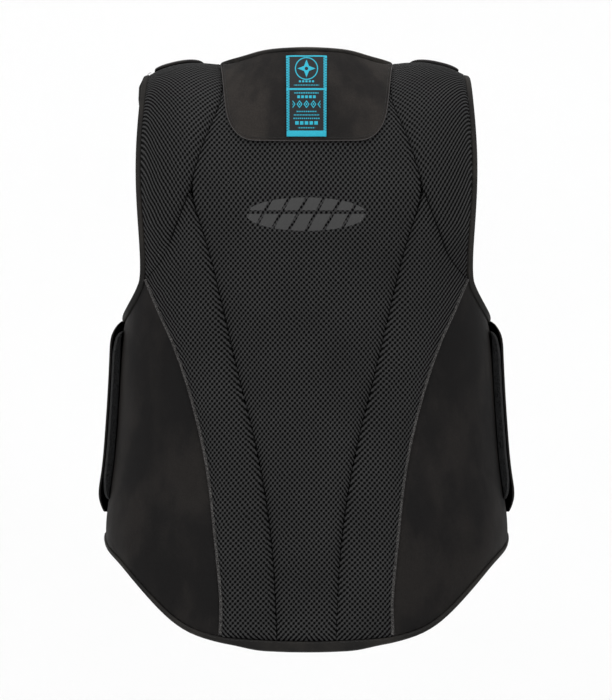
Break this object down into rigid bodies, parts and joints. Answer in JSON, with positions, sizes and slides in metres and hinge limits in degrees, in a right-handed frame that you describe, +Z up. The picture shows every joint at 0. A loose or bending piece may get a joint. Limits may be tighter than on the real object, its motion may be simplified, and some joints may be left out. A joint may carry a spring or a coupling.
{
  "type": "equestrian body protector",
  "caption": "Padded riding vest with a long rounded back, net-covered foam panels, smooth sides, side closure flaps and a front zip.",
  "frame": {"origin": "middle of the line between the two shoulder ridges, where the vest hangs on the shoulders", "axes": "+Z up, -Y towards the back of the vest, +X towards the wearer's right"},
  "size_m": [0.3882, 0.2737, 0.5588],
  "materials": {
    "net_cloth": "matte spacer net with small round holes",
    "smooth_cloth": "smooth matte stretch cloth",
    "yoke_cloth": "smooth warm dark grey cloth",
    "edge_cloth": "folded edge cloth",
    "loop_cloth": "fuzzy loop pile",
    "label_cloth": "woven label",
    "slider_metal": "dark satin"
  },
  "bodies": {
    "root": {"back_centre_panel": "net_cloth", "back_strip_right": "net_cloth", "back_strip_left": "net_cloth", "shoulder_panel_right": "net_cloth", "shoulder_panel_left": "net_cloth", "side_panel_right": "smooth_cloth", "side_panel_left": "smooth_cloth", "front_panel_right": "smooth_cloth", "front_panel_left": "smooth_cloth", "front_shoulder_right": "smooth_cloth", "front_shoulder_left": "smooth_cloth", "neck_yoke": "yoke_cloth", "neck_label": "label_cloth", "front_zip": "edge_cloth", "zip_slider": "slider_metal", "hem_binding": "edge_cloth", "neck_binding": "edge_cloth", "armhole_binding_right": "edge_cloth", "armhole_binding_left": "edge_cloth", "side_loop_panel_right": "loop_cloth", "side_loop_panel_left": "loop_cloth", "side_closure_flap_right": "smooth_cloth", "side_closure_flap_left": "smooth_cloth", "shoulder_closure_right": "smooth_cloth", "shoulder_closure_left": "smooth_cloth", "shoulder_tab_left": "edge_cloth"}
  },
  "joints": []
}
